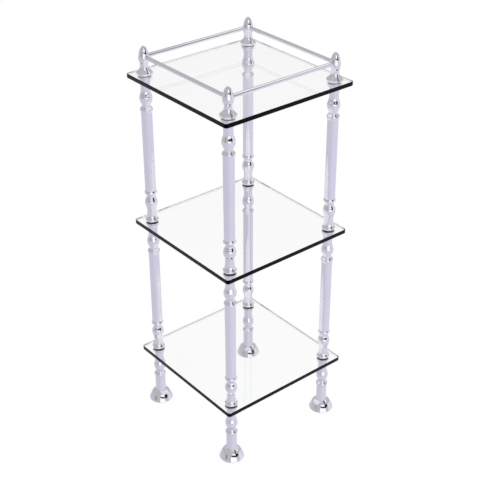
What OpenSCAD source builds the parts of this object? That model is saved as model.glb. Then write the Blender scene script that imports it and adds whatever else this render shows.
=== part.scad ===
// Three-tier etagere: square glass shelves on four turned metal posts, with a
// gallery rail round the top shelf. Millimetres, +Z up, origin on the floor
// under the centre. Each post is a stack: foot, leg tube, then at every shelf a
// baluster below the glass and one above it, with a tube between, and a finial
// on top. A stud through the glass holds each joint together.

/* [Shelves] */
// Side of each square glass shelf
shelf_side = 355.6; // [300:0.1:500]
// Thickness of the glass
shelf_t = 9.5; // [6:0.5:14]
// Radius of the shelf corners
shelf_corner_r = 11; // [4:0.5:20]
// Width of the ground edge between the faces and the sides of the glass
shelf_arris = 0.5; // [0.3:0.1:1.5]
// Distance from a shelf side to the post axis
post_inset = 30.2; // [24:0.2:45]

/* [Tubes] */
// Outer radius of the post tubes
tube_r = 12.7; // [12:0.1:14]
// Wall of the post tubes
tube_wall = 1.2; // [0.8:0.1:2]
// Length of the short tube between the foot and the lowest baluster
leg_tube_len = 45.8; // [36:0.2:120]
// Length of the tubes between two shelves
column_tube_len = 198.6; // [60:0.1:320]
// Length of the spigots that stand in the tube ends
spigot_len = 14; // [8:0.5:17]
// Radial clearance of the spigots in the tubes
spigot_gap = 0.1; // [0.05:0.05:0.3]

/* [Feet] */
// Radius of the domed foot at the floor
foot_r = 29.9; // [22:0.1:40]
// Height of the plain rim under the dome
foot_rim_h = 0.6; // [0.5:0.1:3]
// Height of the flank above the rim
foot_flank_h = 18.4; // [9:0.2:24]
// How far the flank stands out from a straight cone
foot_flank_bulge = 0.5; // [0.05:0.05:1.5]
// Radius where the flank turns into the shoulder
foot_shoulder_r = 21.9; // [17:0.1:28]
// Height of the shoulder, from the flank to the tube
foot_shoulder_h = 6; // [3:0.2:14]
// How far the shoulder stands out from a straight cone
foot_shoulder_bulge = 0.6; // [0.3:0.05:2.5]

/* [Balusters] */
// Radius of the flat face that seats at the glass
seat_r = 15.4; // [14.9:0.1:15.6]
// Height of the bead next to the glass
seat_bead_h = 5.2; // [4:0.1:10]
// How far the bead next to the glass stands out
seat_bead_bulge = 0.8; // [0.2:0.05:2]
// Radius where that bead ends and the cove starts
seat_bead_end_r = 14.4; // [12:0.1:15]
// Height of the cove from the bead to the waist
cove_h = 19; // [10:0.1:24]
// Lean of the cove: less than 1 draws it in near the bead
cove_lean = 0.4; // [0.35:0.01:1]
// Radius of the waist
waist_r = 10.6; // [9:0.1:11.5]
// Radius of the swell
swell_r = 14.7; // [12.5:0.05:18]
// Height from the waist to the widest part of the swell
swell_rise_h = 21.8; // [12:0.1:40]
// Lean of that rise: more than 1 carries its curve away from the glass
swell_rise_lean = 1.4; // [1:0.05:1.7]
// Height from the widest part of the swell to the neck
swell_fall_h = 19.2; // [8:0.1:30]
// Lean of that fall: more than 1 carries its curve away from the glass
swell_fall_lean = 1.3; // [1:0.05:1.6]
// Radius of the neck between the swell and the collar
neck_r = 9.8; // [8.5:0.1:11.5]
// Height from the neck to the widest part of the collar
collar_rise_h = 9.1; // [4:0.1:14]
// Radius of the collar
collar_r = 14.6; // [14.2:0.1:18]
// Height from the widest part of the collar to the tube
collar_fall_h = 5.7; // [2:0.1:10]
// How far that part stands out from a straight cone
collar_bulge = 0.25; // [0.05:0.05:1]

/* [Finials] */
// Radius of the base over the top shelf
base_r = 18.5; // [17:0.1:24]
// Height of the plain rim of the base
base_rim_h = 4.5; // [0.6:0.1:6]
// Radius of the rounding on the lower edge of the rim
base_edge_r = 0.4; // [0.1:0.1:0.6]
// Height of the ogee from the rim to the neck
base_ogee_h = 14.8; // [12:0.1:22]
// Lean of the ogee: 1 spreads its curve evenly, and less draws it in sooner
base_lean = 0.6; // [0.5:0.02:1.2]
// Radius of the finial's neck
finial_neck_r = 9.2; // [8.5:0.1:10.5]
// Height of the finial's neck
finial_neck_h = 3.1; // [0.5:0.1:10]
// Radius of the acorn
acorn_r = 12.3; // [11:0.1:16]
// Height from the neck to the widest part of the acorn
acorn_rise_h = 13.8; // [10:0.1:26]
// Lean of that rise: less than 1 swells it out near the neck
acorn_rise_lean = 0.86; // [0.7:0.02:1.2]
// Height from the widest part of the acorn to its tip
acorn_top_h = 28.2; // [14:0.2:40]
// Roundness of the acorn's flank: 1 is straight and 2 an ellipse
acorn_flank = 1.4; // [1:0.02:2.4]
// Roundness of the acorn's tip: 1 is pointed and 2 an ellipse
acorn_tip = 2.2; // [1.4:0.05:3]

/* [Gallery] */
// Radius of the gallery rails
rail_r = 4.75; // [3:0.05:6]
// Height of the rail axis over the top shelf
rail_h = 40.5; // [36:0.5:50]
// Distance from the post axis to the end of each rail
rail_setback = 6.4; // [6.2:0.1:9]
// Clearance round and behind each rail end
rail_gap = 0.1; // [0.05:0.05:0.3]

/* [Joints at the glass] */
// Radius of the threaded studs
stud_r = 5; // [3:0.1:6]
// Depth that each stud goes into the metal on either side
stud_engage = 13; // [8:0.5:14]
// Clearance round and behind the studs
stud_gap = 0.1; // [0.05:0.05:0.3]
// Radius of the bushing sleeve in the glass
sleeve_r = 13.4; // [9:0.1:13.4]
// Radial clearance of the sleeve in the glass
sleeve_gap = 0.1; // [0.05:0.05:0.3]
// Radius of the bushing flange on the glass
flange_r = 14.5; // [14:0.1:14.8]
// Thickness of the bushing flange
flange_t = 2; // [1:0.1:3]
// Clearance between the bushing flange and the base of the finial
flange_gap = 0.3; // [0.2:0.1:0.5]

/* [Hidden] */
$fn = 96;
// Number of chords on a quarter turn of a profile
curve_steps = 10;

tube_bore_r = tube_r - tube_wall;
spigot_r = tube_bore_r - spigot_gap;
post_offset = shelf_side / 2 - post_inset;

flank_z = foot_rim_h + foot_flank_h;
foot_h = flank_z + foot_shoulder_h;
waist_z = seat_bead_h + cove_h;
swell_z = waist_z + swell_rise_h;
neck_z = swell_z + swell_fall_h;
collar_z = neck_z + collar_rise_h;
baluster_h = collar_z + collar_fall_h;

// Top face of each shelf above the floor
bottom_top = foot_h + leg_tube_len + baluster_h + shelf_t;
shelf_rise = flange_t + 2 * baluster_h + column_tube_len + shelf_t;
middle_top = bottom_top + shelf_rise;
top_top = middle_top + shelf_rise;

// Posts, with the side of each axis on which they stand
POSTS = [
    ["front_left", [-1, -1]],
    ["front_right", [1, -1]],
    ["back_right", [1, 1]],
    ["back_left", [-1, 1]]
];
POST_PIECES = [
    "foot", "leg_tube", "leg_baluster",
    "lower_base_baluster", "lower_tube", "lower_top_baluster",
    "upper_base_baluster", "upper_tube", "upper_top_baluster",
    "finial"
];
// Gallery rails, with the turn from the front one
RAILS = [["front_rail", 0], ["right_rail", 90], ["back_rail", 180], ["left_rail", 270]];
TIERS = [["bottom", bottom_top], ["middle", middle_top], ["top", top_top]];

chrome = [0.80, 0.79, 0.86];
clear_glass = [0.84, 0.92, 0.91, 0.4];
black_rubber = [0.05, 0.05, 0.06];
plain_steel = [0.62, 0.62, 0.64];

// Smooth run between two radii, without its last point: [radius, height] pairs.
// A lean over 1 holds the first radius longer.
function sweep(z0, r0, z1, r1, lean = 1) = [
    for (i = [0:2 * curve_steps - 1])
        let (t = i / (2 * curve_steps))
            [(r0 + r1) / 2 + (r0 - r1) / 2 * cos(180 * pow(t, lean)), z0 + (z1 - z0) * t]
];

// Circular arc between two points, standing out from their chord, without its last
// point
function arc(z0, r0, z1, r1, bulge) =
    let (
        chord = norm([r1 - r0, z1 - z0]),
        half = 2 * atan(2 * bulge / chord),
        arc_r = chord / 2 / sin(half)
    ) [
        for (i = [-curve_steps / 2:curve_steps / 2 - 1])
            let (
                a = 2 * half * i / curve_steps,
                along = arc_r * sin(a) / chord,
                out = arc_r * (cos(a) - cos(half)) / chord
            )
                [(r0 + r1) / 2 + (r1 - r0) * along + (z1 - z0) * out,
                 (z0 + z1) / 2 + (z1 - z0) * along - (r1 - r0) * out]
    ];

// Crown that closes at the axis: a superellipse with one roundness for the flank
// and one for the tip
function crown(z0, z1, r0, flank, tip) = [
    for (i = [0:2 * curve_steps])
        let (a = 45 * i / curve_steps)
            [r0 * pow(cos(a), 2 / tip), z0 + (z1 - z0) * pow(sin(a), 2 / flank)]
];

module turned(profile) {
    rotate_extrude() polygon(profile);
}

// Places its children upright on the axis of a post
module at_post(side) {
    translate([side[0] * post_offset, side[1] * post_offset, 0]) children();
}

module at_each_post() {
    for (post = POSTS) at_post(post[1]) children();
}

// Blind hole for a stud, from the seat upwards
module stud_hole() {
    translate([0, 0, -1]) cylinder(r = stud_r + stud_gap, h = stud_engage + stud_gap + 1);
}

module spigot() {
    cylinder(r = spigot_r, h = spigot_len);
}

// Glass shelf with round corners, ground edges and one hole for each post
module shelf() {
    half = shelf_side / 2;
    reach = half - shelf_corner_r;
    section = [
        [-half, shelf_arris], [shelf_arris - half, 0],
        [half - shelf_arris, 0], [half, shelf_arris],
        [half, shelf_t - shelf_arris], [half - shelf_arris, shelf_t],
        [shelf_arris - half, shelf_t], [-half, shelf_t - shelf_arris]
    ];
    corner = [
        [0, 0], [shelf_corner_r - shelf_arris, 0], [shelf_corner_r, shelf_arris],
        [shelf_corner_r, shelf_t - shelf_arris], [shelf_corner_r - shelf_arris, shelf_t], [0, shelf_t]
    ];
    color(clear_glass) difference() {
        union() {
            for (turn = [0, 90]) rotate([0, 0, turn]) rotate([90, 0, 0])
                linear_extrude(2 * reach, center = true) polygon(section);
            for (x = [-1, 1]) for (y = [-1, 1])
                translate([x * reach, y * reach, 0]) turned(corner);
        }
        at_each_post() translate([0, 0, -1]) cylinder(r = sleeve_r + sleeve_gap, h = shelf_t + 2);
    }
}

// Bushing that lines the hole in the glass and carries a flange on top of it
module bushing() {
    color(black_rubber) difference() {
        union() {
            cylinder(r = sleeve_r, h = shelf_t);
            translate([0, 0, shelf_t]) cylinder(r = flange_r, h = flange_t);
        }
        translate([0, 0, -1]) cylinder(r = stud_r + stud_gap, h = shelf_t + flange_t + 2);
    }
}

// Threaded stud through the bushing, from the metal below to the metal above
module stud() {
    color(plain_steel) translate([0, 0, -stud_engage])
        cylinder(r = stud_r, h = 2 * stud_engage + shelf_t + flange_t);
}

// Turned casting between the glass and a tube, its seat at z = 0
module baluster() {
    color(chrome) difference() {
        union() {
            turned(concat(
                [[0, 0]],
                arc(0, seat_r, seat_bead_h, seat_bead_end_r, seat_bead_bulge),
                sweep(seat_bead_h, seat_bead_end_r, waist_z, waist_r, cove_lean),
                sweep(waist_z, waist_r, swell_z, swell_r, swell_rise_lean),
                sweep(swell_z, swell_r, neck_z, neck_r, swell_fall_lean),
                sweep(neck_z, neck_r, collar_z, collar_r),
                arc(collar_z, collar_r, baluster_h, tube_r, collar_bulge),
                [[tube_r, baluster_h], [0, baluster_h]]
            ));
            translate([0, 0, baluster_h]) spigot();
        }
        stud_hole();
    }
}

module base_baluster() {
    translate([0, 0, flange_t]) baluster();
}

module top_baluster() {
    translate([0, 0, -shelf_t]) mirror([0, 0, 1]) baluster();
}

module tube(length) {
    color(chrome) difference() {
        cylinder(r = tube_r, h = length);
        translate([0, 0, -1]) cylinder(r = tube_bore_r, h = length + 2);
    }
}

// Domed foot with a flat underside and a spigot for the leg tube
module foot() {
    color(chrome) {
        turned(concat(
            [[0, 0], [foot_r, 0]],
            arc(foot_rim_h, foot_r, flank_z, foot_shoulder_r, foot_flank_bulge),
            arc(flank_z, foot_shoulder_r, foot_h, tube_r, foot_shoulder_bulge),
            [[tube_r, foot_h], [0, foot_h]]
        ));
        translate([0, 0, foot_h]) spigot();
    }
}

// Finial whose base covers the bushing flange, with a socket for each rail
module finial(side) {
    rim_z = flange_gap;
    ogee_z = rim_z + base_rim_h;
    neck_z = ogee_z + base_ogee_h;
    rise_z = neck_z + finial_neck_h;
    crest_z = rise_z + acorn_rise_h;
    color(chrome) difference() {
        turned(concat(
            [[0, flange_t], [flange_r + flange_gap, flange_t], [flange_r + flange_gap, rim_z]],
            [[base_r - base_edge_r, rim_z], [base_r, rim_z + base_edge_r]],
            sweep(ogee_z, base_r, neck_z, finial_neck_r, base_lean),
            [[finial_neck_r, neck_z]],
            sweep(rise_z, finial_neck_r, crest_z, acorn_r, acorn_rise_lean),
            crown(crest_z, crest_z + acorn_top_h, acorn_r, acorn_flank, acorn_tip)
        ));
        translate([0, 0, flange_t]) stud_hole();
        for (turn = [side[0] < 0 ? 0 : 180, side[1] < 0 ? 90 : 270])
            rotate([0, 0, turn]) translate([rail_setback - rail_gap, 0, rail_h])
                rotate([0, 90, 0]) cylinder(r = rail_r + rail_gap, h = acorn_r);
    }
}

// Gallery rail along the front, between two finials
module rail() {
    color(chrome) translate([rail_setback - post_offset, -post_offset, rail_h])
        rotate([0, 90, 0]) cylinder(r = rail_r, h = 2 * (post_offset - rail_setback));
}

for (tier = TIERS) {
    translate([0, 0, tier[1] - shelf_t]) shelf();
    at_each_post() translate([0, 0, tier[1] - shelf_t]) bushing();
    at_each_post() translate([0, 0, tier[1] - shelf_t]) stud();
}
for (rail = RAILS) {
    translate([0, 0, top_top]) rotate([0, 0, rail[1]]) rail();
}
for (post = POSTS) at_post(post[1]) {
    foot();
    translate([0, 0, foot_h]) tube(leg_tube_len);
    translate([0, 0, bottom_top]) top_baluster();
    translate([0, 0, bottom_top]) base_baluster();
    translate([0, 0, bottom_top + flange_t + baluster_h]) tube(column_tube_len);
    translate([0, 0, middle_top]) top_baluster();
    translate([0, 0, middle_top]) base_baluster();
    translate([0, 0, middle_top + flange_t + baluster_h]) tube(column_tube_len);
    translate([0, 0, top_top]) top_baluster();
    translate([0, 0, top_top]) finial(post[1]);
}
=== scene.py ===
import math

import bpy
import numpy as np
from mathutils import Matrix, Vector


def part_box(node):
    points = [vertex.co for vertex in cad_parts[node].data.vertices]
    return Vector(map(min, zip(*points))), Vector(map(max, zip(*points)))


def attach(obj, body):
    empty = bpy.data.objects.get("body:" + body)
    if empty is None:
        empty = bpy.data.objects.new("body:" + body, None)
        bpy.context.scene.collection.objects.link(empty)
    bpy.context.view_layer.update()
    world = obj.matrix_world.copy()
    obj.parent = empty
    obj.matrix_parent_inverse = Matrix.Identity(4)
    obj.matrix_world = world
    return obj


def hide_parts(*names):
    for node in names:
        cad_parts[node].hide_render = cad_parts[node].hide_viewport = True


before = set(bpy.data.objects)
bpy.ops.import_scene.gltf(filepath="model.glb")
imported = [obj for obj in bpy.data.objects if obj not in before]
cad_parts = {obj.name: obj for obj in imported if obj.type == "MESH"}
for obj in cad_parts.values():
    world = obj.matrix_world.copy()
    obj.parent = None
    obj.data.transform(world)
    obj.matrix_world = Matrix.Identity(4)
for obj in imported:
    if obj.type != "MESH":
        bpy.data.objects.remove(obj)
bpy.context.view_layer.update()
posts = ["front_left", "front_right", "back_right", "back_left"]
tiers = ["bottom", "middle", "top"]
print("frame loaded with", len(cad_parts), "nodes")


# Camera, fitted to the shelf corners and the post axes of the photograph
photoCamera = {
    "azimuth": -38.98,    # degrees, 0 looks along +Y
    "elevation": 30.64,   # degrees above the horizon
    "roll": -0.28,        # degrees
    "lens": 81.16,        # mm
    "sensorWidth": 36,    # mm
    "place": (-1.3934, -1.7231, 1.7994),    # metres
}


def directionAt(azimuth, elevation):
    # unit vector from the object: azimuth 0 is in front, at -Y, and 90 on the right, at +X
    a, e = math.radians(azimuth), math.radians(elevation)
    return np.array([math.sin(a) * math.cos(e), -math.cos(a) * math.cos(e), math.sin(e)])


def sideVectors(back, roll):
    # right and up vectors square to back: right = up x back, and both turned about back by the roll
    right = np.cross([0, 0, 1], back)
    right /= np.linalg.norm(right)
    up = np.cross(back, right)
    c, s = math.cos(math.radians(roll)), math.sin(math.radians(roll))
    return c * right + s * up, c * up - s * right


def makeCamera(look):
    # the camera's turn has its right, up and back vectors as columns
    data = bpy.data.cameras.new("photoCamera")
    data.sensor_width = look["sensorWidth"]
    data.lens = look["lens"]
    camera = bpy.data.objects.new("photoCamera", data)
    bpy.context.scene.collection.objects.link(camera)
    back = directionAt(look["azimuth"], look["elevation"])
    right, up = sideVectors(back, look["roll"])
    turn = Matrix(np.column_stack([right, up, back]).tolist()).to_4x4()
    camera.matrix_world = Matrix.Translation(look["place"]) @ turn
    bpy.context.scene.camera = camera


makeCamera(photoCamera)
print("camera placed")


def addNode(tree, kind, **settings):
    # a new node with its settings made
    node = tree.nodes.new(kind)
    for key, value in settings.items():
        setattr(node, key, value)
    return node


def setInputs(node, **values):
    # an input name is written with _ where Blender's has a space
    for key, value in values.items():
        node.inputs[key.replace("_", " ")].default_value = value


def feed(tree, sockets, values):
    # links each value that is another node's output, sets each plain one and passes over None
    for socket, value in zip(sockets, values):
        if hasattr(value, "links"):
            tree.links.new(value, socket)
        elif value is not None:
            socket.default_value = value


def newGroup(name, inputs, outputs):
    # a node group whose sockets are each given as a title and a kind
    tree = bpy.data.node_groups.new(name, "ShaderNodeTree")
    for title, kind in inputs:
        tree.interface.new_socket(title, in_out="INPUT", socket_type="NodeSocket" + kind)
    for title, kind in outputs:
        tree.interface.new_socket(title, in_out="OUTPUT", socket_type="NodeSocket" + kind)
    return tree, addNode(tree, "NodeGroupInput"), addNode(tree, "NodeGroupOutput")


def vectorMath(tree, operation, a, b=None):
    # one sum on vectors, whose result is a number for a dot product
    node = addNode(tree, "ShaderNodeVectorMath", operation=operation)
    feed(tree, node.inputs, (a, b))
    return node.outputs["Value" if operation == "DOT_PRODUCT" else "Vector"]


def numberMath(tree, operation, a, b=None):
    # one sum on numbers
    node = addNode(tree, "ShaderNodeMath", operation=operation)
    feed(tree, node.inputs, (a, b))
    return node.outputs["Value"]


def mapSmooth(tree, value, fromLow, fromHigh, toLow, toHigh):
    # smooth step: level outside the first range, and within it an S-shaped run through the second range
    node = addNode(tree, "ShaderNodeMapRange", interpolation_type="SMOOTHSTEP")
    feed(tree, node.inputs, (value, fromLow, fromHigh, toLow, toHigh))
    return node.outputs["Result"]


def mixColour(tree, factor, a, b):
    # a at factor 0, b at factor 1
    node = addNode(tree, "ShaderNodeMix", data_type="RGBA")
    feed(tree, (node.inputs[0], node.inputs[6], node.inputs[7]), (factor, a, b))
    return node.outputs[2]


# Studio: a pale dome with soft cards on it, as the polished metal shows them
studio = {
    "aboveLeft": (0.57, 0.57, 0.555),    # tone over the horizon, in the left half of the room
    "aboveRight": (0.6, 0.6, 0.585),
    "belowLeft": (0.7, 0.69, 0.76),
    "belowRight": (0.81, 0.8, 0.9),
    "leftAzimuth": -129,    # degrees, the middle of the left half
    "sideBlend": 0.6,       # cosine to that middle at which the left tones are full, and to the other's
    "horizonLow": -0.45, "horizonHigh": 0.1,    # heights between which the tones below turn to those above
    "leastDepth": 0.01,     # a card shows only where the cosine to its centre is over this
    "cards": [
        # name, azimuth, elevation, width, height, tilt, softness (degrees), tone
        ("farLight", 96, 78, 24, 12, 0, 4, (1.0, 1.0, 1.0)),
        ("ceilingStrip", 84, 50, 36, 12, 0, 4, (1.2, 1.18, 1.15)),
        ("ceilingGap", 64, 66, 28, 11, 0, 4, (0.13, 0.13, 0.15)),
        ("gapEnd", 30, 55, 26, 12, 12, 4, (0.19, 0.19, 0.21)),
        ("sideWindow", 57, -4, 37, 30, -9, 8, (0.9, 0.9, 0.93)),
        ("upperWindow", -20, 46, 30, 20, 0, 6, (0.86, 0.88, 0.88)),
        ("frontWindow", -18, 23, 42, 26, -7, 4, (1.25, 1.25, 1.22)),
        ("frontSoftbox", -20, -1, 54, 20, -5, 5, (1.28, 1.28, 1.26)),
        ("frontLedge", -16, 10.6, 52, 5, -8, 2, (0.04, 0.04, 0.04)),
        ("flagLow", 20, 11, 34, 15, -5, 3, (0.015, 0.015, 0.015)),
        ("flagMid", 18, 36, 13, 28, 8, 3, (0.08, 0.08, 0.08)),
        ("leftStand", -92, 3, 12, 12, 0, 3, (0.22, 0.22, 0.24)),
    ],
}


def cardMaskGroup(leastDepth):
    # mask of one card: the direction is projected on the plane square to the card's centre line, and the
    # mask fades over the softness at the card's four sides
    tree, given, out = newGroup(
        "cardMask",
        [("Direction", "Vector"), ("Centre", "Vector"), ("Right", "Vector"), ("Up", "Vector"),
         ("Half Width", "Float"), ("Half Height", "Float"), ("Softness", "Float")],
        [("Mask", "Float")],
    )
    depth = vectorMath(tree, "DOT_PRODUCT", given.outputs["Direction"], given.outputs["Centre"])
    safeDepth = numberMath(tree, "MAXIMUM", depth, leastDepth)
    masks = []
    for side, half in (("Right", "Half Width"), ("Up", "Half Height")):
        along = vectorMath(tree, "DOT_PRODUCT", given.outputs["Direction"], given.outputs[side])
        offset = numberMath(tree, "ABSOLUTE", numberMath(tree, "DIVIDE", along, safeDepth))
        inner = numberMath(tree, "SUBTRACT", given.outputs[half], given.outputs["Softness"])
        outer = numberMath(tree, "ADD", given.outputs[half], given.outputs["Softness"])
        masks.append(mapSmooth(tree, offset, inner, outer, 1.0, 0.0))
    ahead = numberMath(tree, "GREATER_THAN", depth, leastDepth)
    both = numberMath(tree, "MULTIPLY", masks[0], masks[1])
    tree.links.new(numberMath(tree, "MULTIPLY", both, ahead), out.inputs["Mask"])
    return tree


def seenStraight(tree):
    # 1 for camera and transmission rays, which see the plain white backdrop, and 0 for the others, which
    # see the studio
    path = addNode(tree, "ShaderNodeLightPath")
    return numberMath(tree, "MAXIMUM", path.outputs["Is Camera Ray"], path.outputs["Is Transmission Ray"])


def makeStudio(look):
    # the four tones blend from side to side and over the horizon, and each card lies over them by its mask
    world = bpy.data.worlds.new("studio")
    bpy.context.scene.world = world
    world.use_nodes = True
    tree = world.node_tree
    tree.nodes.clear()
    direction = addNode(tree, "ShaderNodeTexCoord").outputs["Generated"]
    left = directionAt(look["leftAzimuth"], 0).tolist()
    towardsLeft = vectorMath(tree, "DOT_PRODUCT", direction, left)
    leftness = mapSmooth(tree, towardsLeft, -look["sideBlend"], look["sideBlend"], 0.0, 1.0)
    above = mixColour(tree, leftness, (*look["aboveRight"], 1), (*look["aboveLeft"], 1))
    below = mixColour(tree, leftness, (*look["belowRight"], 1), (*look["belowLeft"], 1))
    height = vectorMath(tree, "DOT_PRODUCT", direction, (0, 0, 1))
    lowness = mapSmooth(tree, height, look["horizonLow"], look["horizonHigh"], 1.0, 0.0)
    colour = mixColour(tree, lowness, above, below)
    maskTree = cardMaskGroup(look["leastDepth"])
    for name, azimuth, elevation, wide, high, tilt, soft, tone in look["cards"]:
        card = addNode(tree, "ShaderNodeGroup", node_tree=maskTree, label=name)
        centre = directionAt(azimuth, elevation)
        right, up = sideVectors(centre, tilt)
        tree.links.new(direction, card.inputs["Direction"])
        setInputs(
            card, Centre=centre.tolist(), Right=right.tolist(), Up=up.tolist(),
            Half_Width=math.tan(math.radians(wide / 2)), Half_Height=math.tan(math.radians(high / 2)),
            Softness=math.tan(math.radians(soft / 2)),
        )
        colour = mixColour(tree, card.outputs["Mask"], colour, (*tone, 1))
    colour = mixColour(tree, seenStraight(tree), colour, (1, 1, 1, 1))
    shader = addNode(tree, "ShaderNodeBackground")
    tree.links.new(colour, shader.inputs["Color"])
    output = addNode(tree, "ShaderNodeOutputWorld")
    tree.links.new(shader.outputs["Background"], output.inputs["Surface"])


bpy.context.scene.view_settings.view_transform = "Standard"
makeStudio(studio)
print("studio made with", len(studio["cards"]), "cards")


# Materials: sizes and depths are in metres, and haze is the roughness, from 0 to 1
driftNoise = {
    "detail": 3.0, "roughness": 0.5,
    "low": 0.3, "high": 0.7,    # values of the noise between which the colour and the haze change
}
chromeLook = {
    "tone": (0.79, 0.775, 0.855), "paleTone": (0.81, 0.795, 0.87),
    "toneSize": 0.06,    # soft drift of the plating's colour
    "hazeLow": 0.015, "hazeHigh": 0.04, "hazeSize": 0.012,
    "waveSize": 0.009, "waveDepth": 0.00002,
}
glassLook = {
    "tone": (0.975, 0.98, 0.982), "paleTone": (0.985, 0.988, 0.99), "toneSize": 0.25,
    # painted shade: within the edge depths of the outline the glass body is painted near black and its
    # reflection tint is dimmed, in place of the dark band a glass edge shows
    "paintedEdgeShade": (0.00002, 0.00002, 0.00003), "shadeDepthAbove": 0.0016, "shadeDepthBelow": 0.0006,
    "ior": 1.5, "gloss": 0.3, "sheen": (1.0, 1.0, 1.0), "paintedEdgeSheenShade": (0.02, 0.02, 0.035),
    "hazeLow": 0.0, "hazeHigh": 0.01, "hazeSize": 0.05,
    "waveSize": 0.15, "waveDepth": 0.00001,
}
rubberLook = {
    "tone": (0.008, 0.008, 0.01), "paleTone": (0.018, 0.018, 0.021), "toneSize": 0.006,
    "coat": 0.15, "coatHaze": 0.2, "gloss": 0.3,
    "hazeLow": 0.22, "hazeHigh": 0.38, "hazeSize": 0.002,
    "waveSize": 0.0012, "waveDepth": 0.00002,
}
steelLook = {
    "tone": (0.32, 0.32, 0.34), "paleTone": (0.42, 0.42, 0.44), "toneSize": 0.004,
    "hazeLow": 0.25, "hazeHigh": 0.42, "hazeSize": 0.0008,
    "waveSize": 0.0006, "waveDepth": 0.00003,
}


def driftGroup(look):
    # three noises on object coordinates, each of a size in metres: one drifts the colour, one the haze
    # and one the height
    tree, given, out = newGroup(
        "surfaceDrift",
        [("Tone", "Color"), ("Pale Tone", "Color"), ("Tone Size", "Float"), ("Haze Low", "Float"),
         ("Haze High", "Float"), ("Haze Size", "Float"), ("Wave Size", "Float")],
        [("Color", "Color"), ("Roughness", "Float"), ("Height", "Float")],
    )
    place = addNode(tree, "ShaderNodeTexCoord").outputs["Object"]
    noises = {}
    for size in ("Tone Size", "Haze Size", "Wave Size"):
        noise = addNode(tree, "ShaderNodeTexNoise")
        setInputs(noise, Detail=look["detail"], Roughness=look["roughness"])
        tree.links.new(place, noise.inputs["Vector"])
        tree.links.new(numberMath(tree, "DIVIDE", 1.0, given.outputs[size]), noise.inputs["Scale"])
        noises[size] = noise.outputs["Fac"]
    drift = mapSmooth(tree, noises["Tone Size"], look["low"], look["high"], 0.0, 1.0)
    colour = mixColour(tree, drift, given.outputs["Tone"], given.outputs["Pale Tone"])
    hazes = (given.outputs["Haze Low"], given.outputs["Haze High"])
    haze = mapSmooth(tree, noises["Haze Size"], look["low"], look["high"], *hazes)
    tree.links.new(colour, out.inputs["Color"])
    tree.links.new(haze, out.inputs["Roughness"])
    tree.links.new(noises["Wave Size"], out.inputs["Height"])
    return tree


def slabEdgeShadeGroup():
    # distance from a round-cornered square: with q = |xy| - (half - radius), it is the length of the
    # positive part of q plus the larger of q where both are negative, less the radius; the mask is 1 within
    # one depth of the outline in the upper half of each slab and within another in its lower half; slabs
    # stand a pitch apart, and a height counts as upper from a slab's middle to one thickness over it
    # the mask marks the band of the glass that is painted dark, as painted shade
    titles = ("Half Side", "Corner Radius", "Depth Above", "Depth Below", "Underside", "Pitch", "Thickness")
    tree, given, out = newGroup("slabEdgeShade", [(title, "Float") for title in titles], [("Mask", "Float")])
    halfSide, radius, depthAbove, depthBelow, underside, pitch, thickness = (
        given.outputs[title] for title in titles
    )
    place = addNode(tree, "ShaderNodeTexCoord").outputs["Object"]
    split = addNode(tree, "ShaderNodeSeparateXYZ")
    tree.links.new(vectorMath(tree, "ABSOLUTE", place), split.inputs[0])
    inset = numberMath(tree, "SUBTRACT", halfSide, radius)
    q = [numberMath(tree, "SUBTRACT", split.outputs[axis], inset) for axis in "XY"]
    outside = [numberMath(tree, "MAXIMUM", value, 0.0) for value in q]
    squares = [numberMath(tree, "MULTIPLY", value, value) for value in outside]
    reach = numberMath(tree, "SQRT", numberMath(tree, "ADD", squares[0], squares[1]))
    inside = numberMath(tree, "MINIMUM", numberMath(tree, "MAXIMUM", q[0], q[1]), 0.0)
    distance = numberMath(tree, "SUBTRACT", numberMath(tree, "ADD", reach, inside), radius)
    middle = numberMath(tree, "ADD", underside, numberMath(tree, "MULTIPLY", thickness, 0.5))
    overMiddle = numberMath(tree, "SUBTRACT", split.outputs["Z"], middle)
    overLast = numberMath(tree, "FLOORED_MODULO", overMiddle, pitch)
    above = numberMath(tree, "LESS_THAN", overLast, thickness)
    extra = numberMath(tree, "MULTIPLY", above, numberMath(tree, "SUBTRACT", depthAbove, depthBelow))
    inwards = numberMath(tree, "MULTIPLY", numberMath(tree, "ADD", depthBelow, extra), -1.0)
    tree.links.new(numberMath(tree, "GREATER_THAN", distance, inwards), out.inputs["Mask"])
    return tree


surfaceDrift = driftGroup(driftNoise)
slabEdgeShade = slabEdgeShadeGroup()


def newMaterial(name, look, **uniform):
    # a Principled shader whose colour, roughness and fine height come from the drift group, and whose other
    # inputs are uniform
    material = bpy.data.materials.new(name)
    material.use_nodes = True
    tree = material.node_tree
    shader = tree.nodes["Principled BSDF"]
    drift = addNode(tree, "ShaderNodeGroup", name="drift", node_tree=surfaceDrift)
    setInputs(
        drift, Tone=(*look["tone"], 1), Pale_Tone=(*look["paleTone"], 1), Tone_Size=look["toneSize"],
        Haze_Low=look["hazeLow"], Haze_High=look["hazeHigh"], Haze_Size=look["hazeSize"],
        Wave_Size=look["waveSize"],
    )
    bump = addNode(tree, "ShaderNodeBump")
    setInputs(bump, Strength=1.0, Distance=look["waveDepth"])
    tree.links.new(drift.outputs["Height"], bump.inputs["Height"])
    tree.links.new(drift.outputs["Color"], shader.inputs["Base Color"])
    tree.links.new(drift.outputs["Roughness"], shader.inputs["Roughness"])
    tree.links.new(bump.outputs["Normal"], shader.inputs["Normal"])
    setInputs(shader, **uniform)
    return material


def makeChrome(look):
    # mirror plate: a metal with hardly any haze
    return newMaterial("polishedChrome", look, Metallic=1.0)


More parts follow.
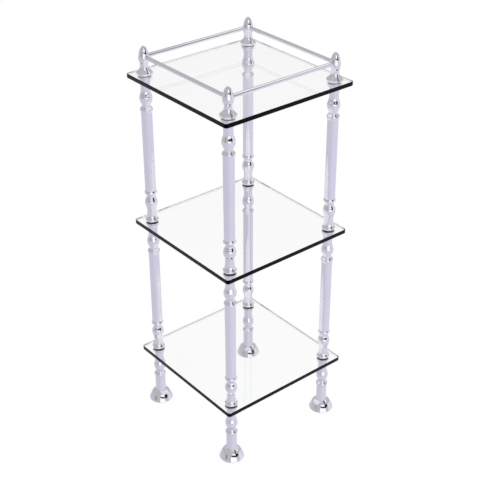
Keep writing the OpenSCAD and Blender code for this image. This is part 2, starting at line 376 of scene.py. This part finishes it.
def makeGlass(look, cornerRadius):
    # clear glass whose body and sheen are painted dark near the edge of the shelf, by the slab edge's mask:
    # painted shade in place of the dark band that a glass edge shows
    material = newMaterial(
        "clearGlass", look, Metallic=0.0, Transmission_Weight=1.0, IOR=look["ior"],
        Specular_IOR_Level=look["gloss"],
    )
    tree = material.node_tree
    shader, drift = tree.nodes["Principled BSDF"], tree.nodes["drift"]
    shadeBand = addNode(tree, "ShaderNodeGroup", node_tree=slabEdgeShade)
    low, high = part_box("bottom_shelf")
    setInputs(
        shadeBand, Half_Side=high.x, Corner_Radius=cornerRadius, Depth_Above=look["shadeDepthAbove"],
        Depth_Below=look["shadeDepthBelow"], Underside=low.z, Pitch=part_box("middle_shelf")[0].z - low.z,
        Thickness=high.z - low.z,
    )
    # painted shade: near the edge the body colour goes near black and the reflection's tint is dimmed
    colour = mixColour(tree, shadeBand.outputs["Mask"], drift.outputs["Color"], (*look["paintedEdgeShade"], 1))
    sheen = mixColour(tree, shadeBand.outputs["Mask"], (*look["sheen"], 1), (*look["paintedEdgeSheenShade"], 1))
    tree.links.new(colour, shader.inputs["Base Color"])
    tree.links.new(sheen, shader.inputs["Specular Tint"])
    return material


def makeRubber(look):
    # smooth black rubber with a faint shine
    return newMaterial(
        "blackRubber", look, Coat_Weight=look["coat"], Coat_Roughness=look["coatHaze"],
        Specular_IOR_Level=look["gloss"],
    )


def makeSteel(look):
    # plain steel of the studs, hazier than the plate
    return newMaterial("plainSteel", look, Metallic=1.0)


shelf = {
    "cornerRadius": 0.007, "cornerSteps": 12, "arris": 0.0005,
    "seatGap": 0.00005,    # between the underside and the metal, so that the metal's polished seat mirrors
    "holeRadius": 0.0134, "cutMargin": 0.01,    # the hole's cutter reaches past both faces by the margin
}
materials = {
    "polished_chrome": makeChrome(chromeLook),
    "clear_glass": makeGlass(glassLook, shelf["cornerRadius"]),
    "black_rubber": makeRubber(rubberLook),
    "plain_steel": makeSteel(steelLook),
}


def dressFrame():
    # every CAD node takes the material of its slot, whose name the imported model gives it
    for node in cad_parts.values():
        for slot in node.material_slots:
            slot.material = materials[slot.material.name.split(".")[0]]


dressFrame()
print("materials made:", ", ".join(materials))


# Turned pieces, as smooth surfaces of revolution that stand where the CAD nodes are
turning = {
    "segments": 96,      # round the axis
    "steps": 24,         # along each run, arc and crown
    "sharpAngle": 32,    # degrees
}


def rise(zLow, rLow, zHigh, rHigh, lean=1):
    # half-cosine run: the radius goes from one value to the other with level ends, without its last point,
    # and a lean over 1 holds the first radius longer
    t = np.arange(turning["steps"]) / turning["steps"]
    turned = np.cos(np.pi * t**lean)
    return np.column_stack([(rLow + rHigh) / 2 + (rLow - rHigh) / 2 * turned, zLow + (zHigh - zLow) * t])


def arc(zLow, rLow, zHigh, rHigh, bulge):
    # circular arc that stands out from its chord by the bulge, without its last point: half its turn is
    # twice the angle whose tangent is 2 * bulge / chord, and its radius is half the chord over the sine of
    # half its turn
    low, high = np.array([rLow, zLow]), np.array([rHigh, zHigh])
    along = high - low
    outwards = np.array([along[1], -along[0]])
    chord = np.linalg.norm(along)
    half = 2 * math.atan(2 * bulge / chord)
    turn = half * np.linspace(-1, 1, turning["steps"] + 1)[:-1, None]
    offset = along * np.sin(turn) + outwards * (np.cos(turn) - math.cos(half))
    return (low + high) / 2 + offset / (2 * math.sin(half))


def crown(zLow, zHigh, radius, flank, tip):
    # superellipse that closes at the axis: the radius falls as the cosine to the power 2 / tip, and the
    # height grows as the sine to the power 2 / flank
    a = np.pi / 2 * np.arange(turning["steps"] + 1) / turning["steps"]
    across, along = np.maximum(np.cos(a), 0) ** (2 / tip), np.sin(a) ** (2 / flank)
    return np.column_stack([radius * across, zLow + (zHigh - zLow) * along])


def ringQuads(rings, count, closed=False):
    # four-sided faces between each ring of points and the next, and from the last to the first if closed
    ring, step = np.meshgrid(np.arange(rings if closed else rings - 1), np.arange(count), indexing="ij")
    above, after = (ring + 1) % rings, (step + 1) % count
    corners = [ring * count + step, ring * count + after, above * count + after, above * count + step]
    return np.stack(corners, axis=-1).reshape(-1, 4)


def smoothMesh(name, points, faces):
    # smooth all over but for edges that turn by more than the sharp angle
    mesh = bpy.data.meshes.new(name)
    mesh.from_pydata(points.tolist(), [], faces)
    mesh.shade_smooth()
    mesh.set_sharp_from_angle(angle=math.radians(turning["sharpAngle"]))
    return mesh


def turnedMesh(name, profile, centre):
    # the profile's first and last points are poles on the axis; each other point (r, z) becomes a ring
    # (x + r cos u, y + r sin u, z), u going round in equal steps; rings are joined by four-sided faces, and
    # the first and last ring to their poles by triangles
    count, rings = turning["segments"], profile[1:-1]
    u = 2 * np.pi * np.arange(count) / count
    grid = np.empty((len(rings), count, 3))
    grid[:, :, 0] = centre[0] + rings[:, :1] * np.cos(u)
    grid[:, :, 1] = centre[1] + rings[:, :1] * np.sin(u)
    grid[:, :, 2] = rings[:, 1:]
    poles = [[centre[0], centre[1], profile[0][1]], [centre[0], centre[1], profile[-1][1]]]
    points = np.vstack([grid.reshape(-1, 3), poles])
    first, following = np.arange(count), (np.arange(count) + 1) % count
    top = (len(rings) - 1) * count
    startFan = np.column_stack([following, first, np.full(count, len(points) - 2)])
    endFan = np.column_stack([top + first, top + following, np.full(count, len(points) - 1)])
    quads = ringQuads(len(rings), count)
    return smoothMesh(name, points, quads.tolist() + startFan.tolist() + endFan.tolist())


def sleeveMesh(name, profile, centres):
    # a closed profile round a bore, taken round each centre: point (r, z) becomes the ring
    # (x + r cos u, y + r sin u, z), and the last ring is joined to the first
    count = turning["segments"]
    u = 2 * np.pi * np.arange(count) / count
    quads = ringQuads(len(profile), count, closed=True)
    points, faces = [], []
    for i, (x, y) in enumerate(centres):
        across = np.stack([x + profile[:, :1] * np.cos(u), y + profile[:, :1] * np.sin(u)], axis=-1)
        height = np.broadcast_to(profile[:, 1:], across.shape[:2])[:, :, None]
        points.append(np.concatenate([across, height], axis=-1).reshape(-1, 3))
        faces.append(quads + i * len(profile) * count)
    return smoothMesh(name, np.vstack(points), np.vstack(faces).tolist())


def addPiece(name, mesh, slot, *nodes):
    # a visible piece in the place of CAD nodes, with the material of its slot
    piece = bpy.data.objects.new(name, mesh)
    bpy.context.scene.collection.objects.link(piece)
    mesh.materials.append(materials[slot])
    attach(piece, "root")
    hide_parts(*nodes)
    return piece


def cutRound(piece, start, axis, radius, length):
    # takes a turned rod, from start along the axis, away from the piece
    rod = np.array([[0, 0], [radius, 0], [radius, length], [0, length]])
    cutter = bpy.data.objects.new("cutter", turnedMesh("cutter", rod, (0, 0)))
    bpy.context.scene.collection.objects.link(cutter)
    cutter.data.transform(Matrix.Translation(start) @ axis.to_track_quat("Z", "Y").to_matrix().to_4x4())
    modifier = piece.modifiers.new("cut", "BOOLEAN")
    modifier.object = cutter
    modifier.solver = "EXACT"
    bpy.context.view_layer.update()
    cut = bpy.data.meshes.new_from_object(piece.evaluated_get(bpy.context.evaluated_depsgraph_get()))
    cut.set_sharp_from_angle(angle=math.radians(turning["sharpAngle"]))
    piece.modifiers.clear()
    piece.data = cut
    bpy.data.objects.remove(cutter)


def flipped(profile):
    # upside down about z = 0, with its points in the order that keeps the faces outwards
    return (profile * [1, -1])[::-1]


baluster = {
    "seatRadius": 0.0154, "beadHeight": 0.0052, "beadBulge": 0.0008, "beadEndRadius": 0.0144,
    "coveHeight": 0.019, "coveLean": 0.4, "waistRadius": 0.0106,
    "swellRise": 0.0218, "riseLean": 1.4, "swellRadius": 0.0147, "swellFall": 0.0192, "fallLean": 1.3,
    "neckRadius": 0.0098, "collarRise": 0.0091, "collarRadius": 0.0146, "collarBulge": 0.00025,
    "spigotRadius": 0.0114, "spigotLength": 0.014, "holeRadius": 0.0051, "holeDepth": 0.0131,
}
tubeLow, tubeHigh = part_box("front_left_upper_tube")
tubeRadius = (tubeHigh.x - tubeLow.x) / 2


def balusterProfile(look, height):
    # seat with its stud hole, bead, cove, swell, neck, collar and spigot, from z = 0 up
    waist = look["beadHeight"] + look["coveHeight"]
    swell = waist + look["swellRise"]
    neck = swell + look["swellFall"]
    collar = neck + look["collarRise"]
    collarTop = height - look["spigotLength"]
    return np.vstack([
        [[0, look["holeDepth"]], [look["holeRadius"], look["holeDepth"]], [look["holeRadius"], 0]],
        arc(0, look["seatRadius"], look["beadHeight"], look["beadEndRadius"], look["beadBulge"]),
        rise(look["beadHeight"], look["beadEndRadius"], waist, look["waistRadius"], look["coveLean"]),
        rise(waist, look["waistRadius"], swell, look["swellRadius"], look["riseLean"]),
        rise(swell, look["swellRadius"], neck, look["neckRadius"], look["fallLean"]),
        rise(neck, look["neckRadius"], collar, look["collarRadius"]),
        arc(collar, look["collarRadius"], collarTop, tubeRadius, look["collarBulge"]),
        [[tubeRadius, collarTop], [look["spigotRadius"], collarTop], [look["spigotRadius"], height]],
        [[0, height]],
    ])


def makeBaluster(node):
    # its seat is at the bottom where it stands on a shelf, and at the top where it hangs under one
    low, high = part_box(node)
    profile = balusterProfile(baluster, high.z - low.z)
    if node.endswith("_base_baluster"):
        profile = profile + [0, low.z]
    else:
        profile = flipped(profile) + [0, high.z]
    mesh = turnedMesh("smooth_" + node, profile, (low + high) / 2)
    addPiece("smooth_" + node, mesh, "polished_chrome", node)


def postCentre(post):
    # x and y of the post's axis, from the box of its foot
    low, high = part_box(post + "_foot")
    return (low.x + high.x) / 2, (low.y + high.y) / 2


def slabOutline(half, radius):
    # rounded square, anticlockwise: quarter circles in equal steps round the four corner centres
    steps = shelf["cornerSteps"]
    a = np.pi / 2 * np.arange(steps + 1) / steps
    x, y = half - radius + radius * np.cos(a), half - radius + radius * np.sin(a)
    return np.vstack([np.column_stack(corner) for corner in ((x, y), (-y, x), (-x, -y), (y, -x))])


def makeShelf(tier):
    # four rounded squares, two of them drawn in by the arris, joined by rings of faces and closed by flat
    # faces above and below, with a round hole for each post
    node = tier + "_shelf"
    low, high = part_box(node)
    arris, radius = shelf["arris"], shelf["cornerRadius"]
    underside = low.z + shelf["seatGap"]
    levels = [(arris, underside), (0, underside + arris), (0, high.z - arris), (arris, high.z)]
    rings = [np.insert(slabOutline(high.x - inset, radius - inset), 2, z, axis=1) for inset, z in levels]
    count, last = len(rings[0]), len(rings) - 1
    bottomFace, topFace = np.arange(count)[::-1], np.arange(count) + last * count
    faces = ringQuads(len(rings), count).tolist() + [bottomFace.tolist(), topFace.tolist()]
    mesh = smoothMesh("smooth_" + node, np.vstack(rings), faces)
    piece = addPiece("smooth_" + node, mesh, "clear_glass", node)
    margin, up = shelf["cutMargin"], Vector((0, 0, 1))
    for post in posts:
        x, y = postCentre(post)
        start = Vector((x, y, low.z - margin))
        cutRound(piece, start, up, shelf["holeRadius"], high.z - low.z + 2 * margin)


bushing = {
    "boreRadius": 0.0051,
    "sleeveRadius": 0.01345,    # a little over the hole in the glass, since the rubber is pressed into it
    "flangeRadius": 0.0143, "flangeThickness": 0.002, "flangeLip": 0.0006, "lipSteps": 6,
}


def bushingProfile(look, low, flangeLow, high):
    # closed outline, from the foot of the bore round the outside to its top: sleeve, flange and rounded rim
    lip, flangeRadius = look["flangeLip"], look["flangeRadius"]
    a = np.radians(np.linspace(0, 90, look["lipSteps"] + 1))
    rim = np.column_stack([flangeRadius - lip + lip * np.cos(a), high - lip + lip * np.sin(a)])
    return np.vstack([
        [[look["boreRadius"], low], [look["sleeveRadius"], low], [look["sleeveRadius"], flangeLow],
         [flangeRadius, flangeLow]],
        rim,
        [[look["boreRadius"], high]],
    ])


def makeBushings(tier):
    # the four bushings of a shelf are one piece, as they are one node
    node = tier + "_bushings"
    low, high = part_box(node)
    centres = [postCentre(post) for post in posts]
    profile = bushingProfile(bushing, low.z, high.z - bushing["flangeThickness"], high.z)
    addPiece("smooth_" + node, sleeveMesh("smooth_" + node, profile, centres), "black_rubber", node)


foot = {
    "rimHeight": 0.0006, "flankHeight": 0.0184, "flankBulge": 0.0005,
    "shoulderRadius": 0.0219, "shoulderBulge": 0.0006, "spigotRadius": 0.0114, "spigotLength": 0.014,
}


def makeFoot(node):
    # flat underside, plain rim, flank, shoulder up to the tube, and the spigot
    low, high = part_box(node)
    radius, top = (high.x - low.x) / 2, high.z - foot["spigotLength"]
    flankLow = low.z + foot["rimHeight"]
    flankTop = flankLow + foot["flankHeight"]
    profile = np.vstack([
        [[0, low.z], [radius, low.z]],
        arc(flankLow, radius, flankTop, foot["shoulderRadius"], foot["flankBulge"]),
        arc(flankTop, foot["shoulderRadius"], top, tubeRadius, foot["shoulderBulge"]),
        [[tubeRadius, top], [foot["spigotRadius"], top], [foot["spigotRadius"], high.z], [0, high.z]],
    ])
    mesh = turnedMesh("smooth_" + node, profile, (low + high) / 2)
    addPiece("smooth_" + node, mesh, "polished_chrome", node)


finial = {
    "recessHeight": 0.002, "recessRadius": 0.0148, "holeRadius": 0.0051, "holeDepth": 0.0131,
    "edgeRadius": 0.0004, "rimHeight": 0.0045, "ogeeHeight": 0.0148, "ogeeLean": 0.6,
    "neckRadius": 0.0092, "neckHeight": 0.0031,
    "acornRadius": 0.0123, "acornRise": 0.0138, "riseLean": 0.86, "crownFlank": 1.4, "crownTip": 2.2,
    "socketGap": 0.0001,
}


def finialProfile(look, glassTop, low, high):
    # recess over the bushing with its stud hole, rim, ogee, neck, and an acorn with its crown
    recess = glassTop + look["recessHeight"]
    ogee = low.z + look["rimHeight"]
    neck = ogee + look["ogeeHeight"]
    neckTop = neck + look["neckHeight"]
    crest = neckTop + look["acornRise"]
    radius = (high.x - low.x) / 2
    return np.vstack([
        [[0, recess + look["holeDepth"]], [look["holeRadius"], recess + look["holeDepth"]],
         [look["holeRadius"], recess], [look["recessRadius"], recess], [look["recessRadius"], low.z],
         [radius - look["edgeRadius"], low.z], [radius, low.z + look["edgeRadius"]]],
        rise(ogee, radius, neck, look["neckRadius"], look["ogeeLean"]),
        [[look["neckRadius"], neck]],
        rise(neckTop, look["neckRadius"], crest, look["acornRadius"], look["riseLean"]),
        crown(crest, high.z, look["acornRadius"], look["crownFlank"], look["crownTip"]),
    ])


def makeFinial(node, rails):
    # the two rail ends are cut out as round sockets: each cutter is wider than its rail by the gap, starts
    # the gap behind the rail's end and goes along the rail, out of the finial
    low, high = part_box(node)
    centre = (low + high) / 2
    profile = finialProfile(finial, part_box("top_shelf")[1].z, low, high)
    mesh = turnedMesh("smooth_" + node, profile, centre)
    piece = addPiece("smooth_" + node, mesh, "polished_chrome", node)
    gap = finial["socketGap"]
    for rail in rails:
        railLow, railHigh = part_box(rail)
        along = 0 if railHigh.x - railLow.x > railHigh.y - railLow.y else 1
        axis = Vector((0, 0, 0))
        axis[along] = 1 if centre[along] < 0 else -1
        railEnd = railLow[along] if centre[along] < 0 else railHigh[along]
        start = Vector(centre)
        start[along] = railEnd - axis[along] * gap
        start.z = (railLow.z + railHigh.z) / 2
        cutRound(piece, start, axis, (railHigh.z - railLow.z) / 2 + gap, 2 * finial["acornRadius"])


railsAt = {
    "front_left": ("front_rail", "left_rail"), "front_right": ("front_rail", "right_rail"),
    "back_right": ("back_rail", "right_rail"), "back_left": ("back_rail", "left_rail"),
}
for tier in tiers:
    makeShelf(tier)
    makeBushings(tier)
for post in posts:
    makeFoot(post + "_foot")
    for part in ("leg", "lower_base", "lower_top", "upper_base", "upper_top"):
        makeBaluster(f"{post}_{part}_baluster")
    makeFinial(post + "_finial", railsAt[post])
    print("turned pieces made for", post)


# Floor, which the backdrop's white runs into
floor = {"side": 16.0, "tone": 0.92, "haze": 0.9, "glow": 1.03, "shadowShare": 0.06}


def makeFloor(look):
    # a level square that glows like the backdrop where it is seen, but for the share that takes shadows
    half = look["side"] / 2
    corners = [(-half, -half, 0), (half, -half, 0), (half, half, 0), (-half, half, 0)]
    mesh = bpy.data.meshes.new("floor")
    mesh.from_pydata(corners, [], [(0, 1, 2, 3)])
    piece = bpy.data.objects.new("floor", mesh)
    bpy.context.scene.collection.objects.link(piece)
    piece.visible_glossy = False
    material = bpy.data.materials.new("floor")
    material.use_nodes = True
    tree = material.node_tree
    shader = tree.nodes["Principled BSDF"]
    setInputs(shader, Base_Color=(look["tone"], look["tone"], look["tone"], 1), Roughness=look["haze"])
    glow = addNode(tree, "ShaderNodeEmission")
    setInputs(glow, Strength=look["glow"])
    share = numberMath(tree, "MULTIPLY", seenStraight(tree), 1 - look["shadowShare"])
    mix = addNode(tree, "ShaderNodeMixShader")
    tree.links.new(share, mix.inputs["Fac"])
    tree.links.new(shader.outputs["BSDF"], mix.inputs[1])
    tree.links.new(glow.outputs["Emission"], mix.inputs[2])
    tree.links.new(mix.outputs["Shader"], tree.nodes["Material Output"].inputs["Surface"])
    mesh.materials.append(material)


makeFloor(floor)
print("floor made")
